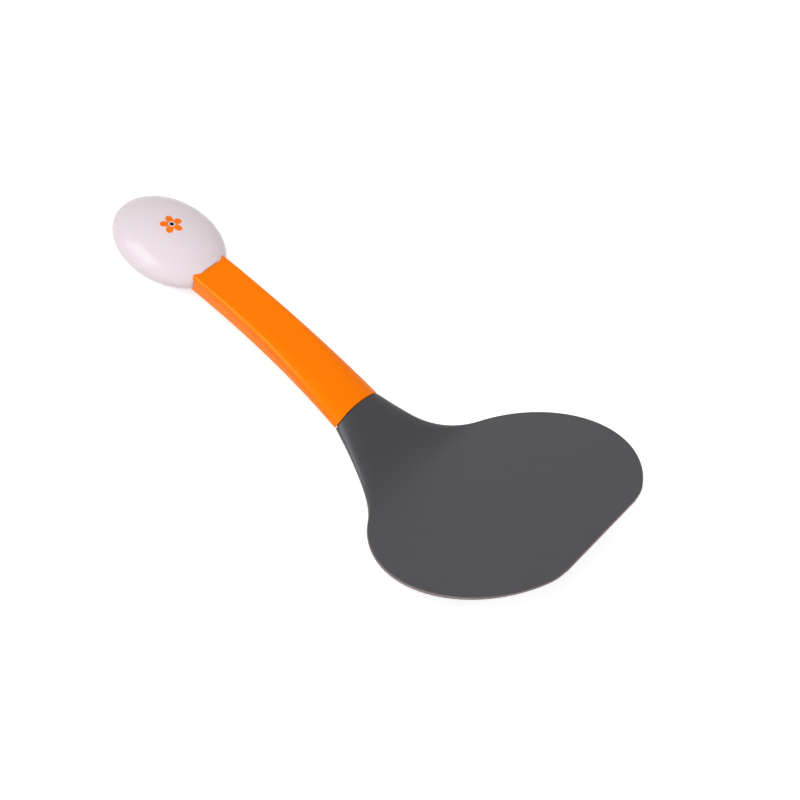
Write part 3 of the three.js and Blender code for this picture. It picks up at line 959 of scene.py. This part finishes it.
class MESH_OT_turner_handle(bpy.types.Operator):
    """Sweeps the arched handle, parts it along its seam and makes two walled shells of it"""

    bl_idname = "mesh.turner_handle"
    bl_label = "Handle shells"

    def execute(self, context):
        shape = shape_of(context)
        material = orange_moulding(context.scene.turner_colours)
        for name, node, side in (
            ("turner_handle_upper", "handle_upper_shell", 1.0),
            ("turner_handle_lower", "handle_lower_shell", -1.0),
        ):
            piece = self.shell(shape, name, side)
            hand_over(piece, material, node)
        return {"FINISHED"}

    def shell(self, shape, name, side):
        """The shell above the seam, or below it for a side of -1."""
        handle = shape.handle
        stations = self.arch(shape)
        last = stations[-1]
        stations.append(shape.past_egg_joint(last, handle.horn, 0.0))
        piece = sweep(name, stations, corner_steps=HANDLE_ROUND_STEPS)
        bow_joint(piece, shape, 0.0)
        combine(piece, grown_egg(shape, last.along), "DIFFERENCE")
        combine(piece, self.stub(shape, last), "UNION")
        combine(piece, self.room(shape), "DIFFERENCE")
        stations.append(shape.past_egg_joint(last, handle.tenon, 0.0))
        tidy_mesh(piece)
        level_seam(piece, stations)
        edit(piece)
        seam = (0.0, 0.0, side * handle.seam / 2)
        cut(seam, (0.0, 0.0, side), use_fill=True, clear_inner=True, threshold=TOUCH)
        bpy.ops.mesh.select_mode(type="FACE")
        pick_faces(piece, lambda f: len(f.verts) > SEAM_FACE_CORNERS)
        bpy.ops.mesh.quads_convert_to_tris(quad_method="BEAUTY", ngon_method="BEAUTY")
        leave()
        bend_into_place(piece, stations)
        tidy_mesh(piece)
        smooth(piece)
        lay_down(piece)
        return piece

    @staticmethod
    def arch(shape):
        """Stations from the neck to the egg, with the rim at the neck drawn in."""
        rim = shape.handle.rim
        gap = shape.handle.neck_gap
        start = gap / (2 * shape.first_leg)
        stations = shape.handle_stations(start, 1.0, HANDLE_STEPS, 0.0, -gap)
        first = stations[0]
        way = shape.back(first.slope)
        section = shape.handle_section(start, rim)
        lip = Station(first.along, first.x, first.z, first.slope, *section, first.seam)
        first.along -= rim
        first.x += way.x * rim
        first.z += way.y * rim
        return [lip] + stations

    @staticmethod
    def stub(shape, last):
        """The bar that runs from the end wall into the egg."""
        handle = shape.handle
        ends = (-handle.end_wall / 2, handle.tenon)
        stations = [shape.past_egg_joint(last, end, handle.tenon_step) for end in ends]
        return sweep("stub", stations, corner_steps=STUB_ROUND_STEPS)

    @staticmethod
    def room(shape):
        """The hollow of the handle, from before its mouth at the neck to the end wall."""
        wall = shape.handle.wall
        end = 1.0 - shape.handle.end_wall / (2 * shape.second_leg)
        stations = shape.handle_stations(0.0, end, ROOM_STEPS, wall)
        first = stations[0]
        section = shape.handle_section(0.0, wall)
        mouth = Station(wall, first.x, first.z, first.slope, *section)
        room = sweep("room", [mouth] + stations, corner_steps=ROOM_ROUND_STEPS)
        bow_joint(room, shape, 0.0)
        return room


class MESH_OT_turner_egg(bpy.types.Operator):
    """Shapes the flattened egg, seats it on the handle and parts it into two walled shells"""

    bl_idname = "mesh.turner_egg"
    bl_label = "Egg shells"

    def execute(self, context):
        shape = shape_of(context)
        egg = shape.egg
        slope = shape.handle.egg_angle
        centre = shape.egg_joint + shape.back(slope) * egg.seat * (egg.reach / 2)
        colours = context.scene.turner_colours
        material = egg_moulding(colours, egg, self.laid(centre), slope - REST_LEAN)
        for name, node, side in (
            ("turner_egg_front", "egg_front_shell", 1.0),
            ("turner_egg_back", "egg_back_shell", -1.0),
        ):
            piece = self.shell(shape, name, side)
            piece.rotation_euler = (0.0, slope, 0.0)
            piece.location = (centre.x, 0.0, centre.y)
            settle(piece)
            lay_down(piece)
            hand_over(piece, material, node)
        return {"FINISHED"}

    @staticmethod
    def laid(point):
        """Where a point of the side view lies once the tool rests on the table."""
        x = REST_X + point.x * math.cos(REST_LEAN) - point.y * math.sin(REST_LEAN)
        z = REST_Z + point.x * math.sin(REST_LEAN) + point.y * math.cos(REST_LEAN)
        return (x, 0.0, z)

    @staticmethod
    def shell(shape, name, side):
        """The front shell, or the back one for a side of -1."""
        egg = shape.egg
        seat = egg.seat * egg.reach / 2 - shape.handle.egg_gap
        piece = egg_ball(name, shape, 0.0, EGG_SEGMENTS)
        edit(piece)
        cut((seat, 0.0, 0.0), (1.0, 0.0, 0.0), use_fill=True, clear_outer=True)
        bpy.ops.mesh.select_mode(type="FACE")
        pick_faces(piece, lambda f: f.normal.x > SEAT_FACING and len(f.verts) > SEAT_FACE_CORNERS)
        bpy.ops.mesh.inset(thickness=egg.mouth, use_even_offset=True)
        bpy.ops.mesh.delete(type="FACE")
        cut((0.0, 0.0, side * egg.seam / 2), (0.0, 0.0, side), clear_inner=True)
        leave()
        tidy_mesh(piece)
        finish_modifier(piece, "SOLIDIFY", thickness=egg.wall, offset=-1.0, use_even_offset=True)
        rounding = {"width": egg.rim, "segments": EGG_RIM_STEPS, "angle_limit": EGG_RIM_ANGLE}
        finish_modifier(piece, "BEVEL", limit_method="ANGLE", **rounding)
        tidy_mesh(piece)
        smooth(piece)
        return piece


def seen_rays(put, strength):
    """The given strength on rays from the camera and on mirrored and clear rays, and none on others."""
    path = put.add("ShaderNodeLightPath").outputs
    first = put.sum("MAXIMUM", path["Is Camera Ray"], path["Is Glossy Ray"])
    return put.sum("MULTIPLY", put.sum("MAXIMUM", first, path["Is Transmission Ray"]), strength)


class SCENE_OT_turner_stage(bpy.types.Operator):
    """Sets the pale floor, the soft lamps and the camera"""

    bl_idname = "scene.turner_stage"
    bl_label = "Stage"

    def execute(self, context):
        self.floor(context.scene.turner_colours)
        self.sky(context.scene)
        for name, place, size, power, mirrored in LAMPS:
            self.softbox(name, place, size, power, mirrored)
        self.camera(context.scene)
        return {"FINISHED"}

    @staticmethod
    def floor(colours):
        """A matte floor that glows a little where it is looked at."""
        bpy.ops.object.select_all(action="DESELECT")
        bpy.ops.mesh.primitive_plane_add(size=FLOOR_SIZE)
        floor = bpy.context.object
        floor.name = "stage_floor"
        material = bpy.data.materials.new("stage_floor")
        material.use_nodes = True
        put = Nodes(material.node_tree)
        shader = material.node_tree.nodes["Principled BSDF"]
        shader.inputs["Base Color"].default_value = opaque(colours.floor)
        shader.inputs["Roughness"].default_value = 0.9
        shader.inputs["Specular IOR Level"].default_value = 0.0
        shader.inputs["Emission Color"].default_value = WHITE
        put.link(seen_rays(put, FLOOR_GLOW), shader.inputs["Emission Strength"])
        floor.data.materials.append(material)

    @staticmethod
    def sky(scene):
        """A white sky, full to the camera, dimmer as light and mirrored less high up."""
        world = bpy.data.worlds.new("stage_sky")
        world.use_nodes = True
        put = Nodes(world.node_tree)
        background = world.node_tree.nodes["Background"]
        background.inputs["Color"].default_value = WHITE
        path = put.add("ShaderNodeLightPath").outputs
        direction = put.add("ShaderNodeSeparateXYZ")
        put.link(put.add("ShaderNodeTexCoord").outputs["Generated"], direction.inputs[0])
        mirrored = put.span(direction.outputs["Z"], *SKY_FADE, 1.0, SKY_MIRRORED, "LINEAR")
        seen = put.sum("MAXIMUM", path["Is Camera Ray"], path["Is Transmission Ray"])
        light = put.span(seen, 0.0, 1.0, SKY_LIGHT, 1.0, "LINEAR")
        more = put.sum("MULTIPLY", path["Is Glossy Ray"], put.sum("SUBTRACT", mirrored, SKY_LIGHT))
        put.link(put.sum("ADD", light, more), background.inputs["Strength"])
        scene.world = world

    @staticmethod
    def softbox(name, place, size, power, mirrored):
        """A lamp that only shows in gloss when it is mirrored, and otherwise only lights."""
        bpy.ops.object.select_all(action="DESELECT")
        bpy.ops.object.light_add(type="AREA", location=place)
        lamp = bpy.context.object
        lamp.name = "stage_" + name
        lamp.visible_glossy = mirrored
        lamp.visible_diffuse = not mirrored
        lamp.data.shape = "RECTANGLE"
        lamp.data.size, lamp.data.size_y = size
        lamp.data.energy = power
        aim = Vector(LAMP_AIM) - Vector(place)
        lamp.rotation_euler = aim.to_track_quat("-Z", "Y").to_euler()

    @staticmethod
    def camera(scene):
        """The camera that sees the tool as the photograph does."""
        bpy.ops.object.select_all(action="DESELECT")
        bpy.ops.object.camera_add()
        camera = bpy.context.object
        camera.name = "photo_camera"
        up = [-value for value in PICTURE_DOWN]
        toward = [-value for value in PICTURE_DEPTH]
        turn = Matrix((PICTURE_RIGHT, up, toward)).transposed()
        camera.matrix_world = Matrix.Translation(CAMERA_PLACE) @ turn.to_4x4()
        camera.data.sensor_fit = "HORIZONTAL"
        camera.data.sensor_width = SENSOR
        camera.data.lens = LENS
        camera.data.shift_x, camera.data.shift_y = PICTURE_SHIFT
        camera.data.clip_start = CLIP_START
        scene.camera = camera


class VIEW3D_PT_turner(bpy.types.Panel):
    """Lists the steps that build the turner"""

    bl_idname = "VIEW3D_PT_turner"
    bl_label = "Flexible turner"
    bl_space_type = "VIEW_3D"
    bl_region_type = "UI"
    bl_category = "Turner"

    def draw(self, context):
        for operator in OPERATORS:
            self.layout.operator(operator.bl_idname)
        for name in GROUPS:
            group = getattr(context.scene, name)
            box = self.layout.box()
            for key in group.__annotations__:
                box.prop(group, key)


OPERATORS = (MESH_OT_turner_blade, MESH_OT_turner_handle, MESH_OT_turner_egg, SCENE_OT_turner_stage)
GROUPS = {
    "turner_blade": TurnerBladeSizes,
    "turner_handle": TurnerHandleSizes,
    "turner_egg": TurnerEggSizes,
    "turner_colours": TurnerColours,
}


def register():
    for kind in (*GROUPS.values(), *OPERATORS, VIEW3D_PT_turner):
        bpy.utils.register_class(kind)
    for name, kind in GROUPS.items():
        setattr(bpy.types.Scene, name, bpy.props.PointerProperty(type=kind))


def unregister():
    for name in GROUPS:
        delattr(bpy.types.Scene, name)
    for kind in reversed((*GROUPS.values(), *OPERATORS, VIEW3D_PT_turner)):
        bpy.utils.unregister_class(kind)


def main():
    register()
    bpy.context.scene.view_settings.view_transform = "Standard"
    bpy.ops.mesh.turner_blade()
    bpy.ops.mesh.turner_handle()
    bpy.ops.mesh.turner_egg()
    bpy.ops.scene.turner_stage()


if __name__ == "__main__":
    main()
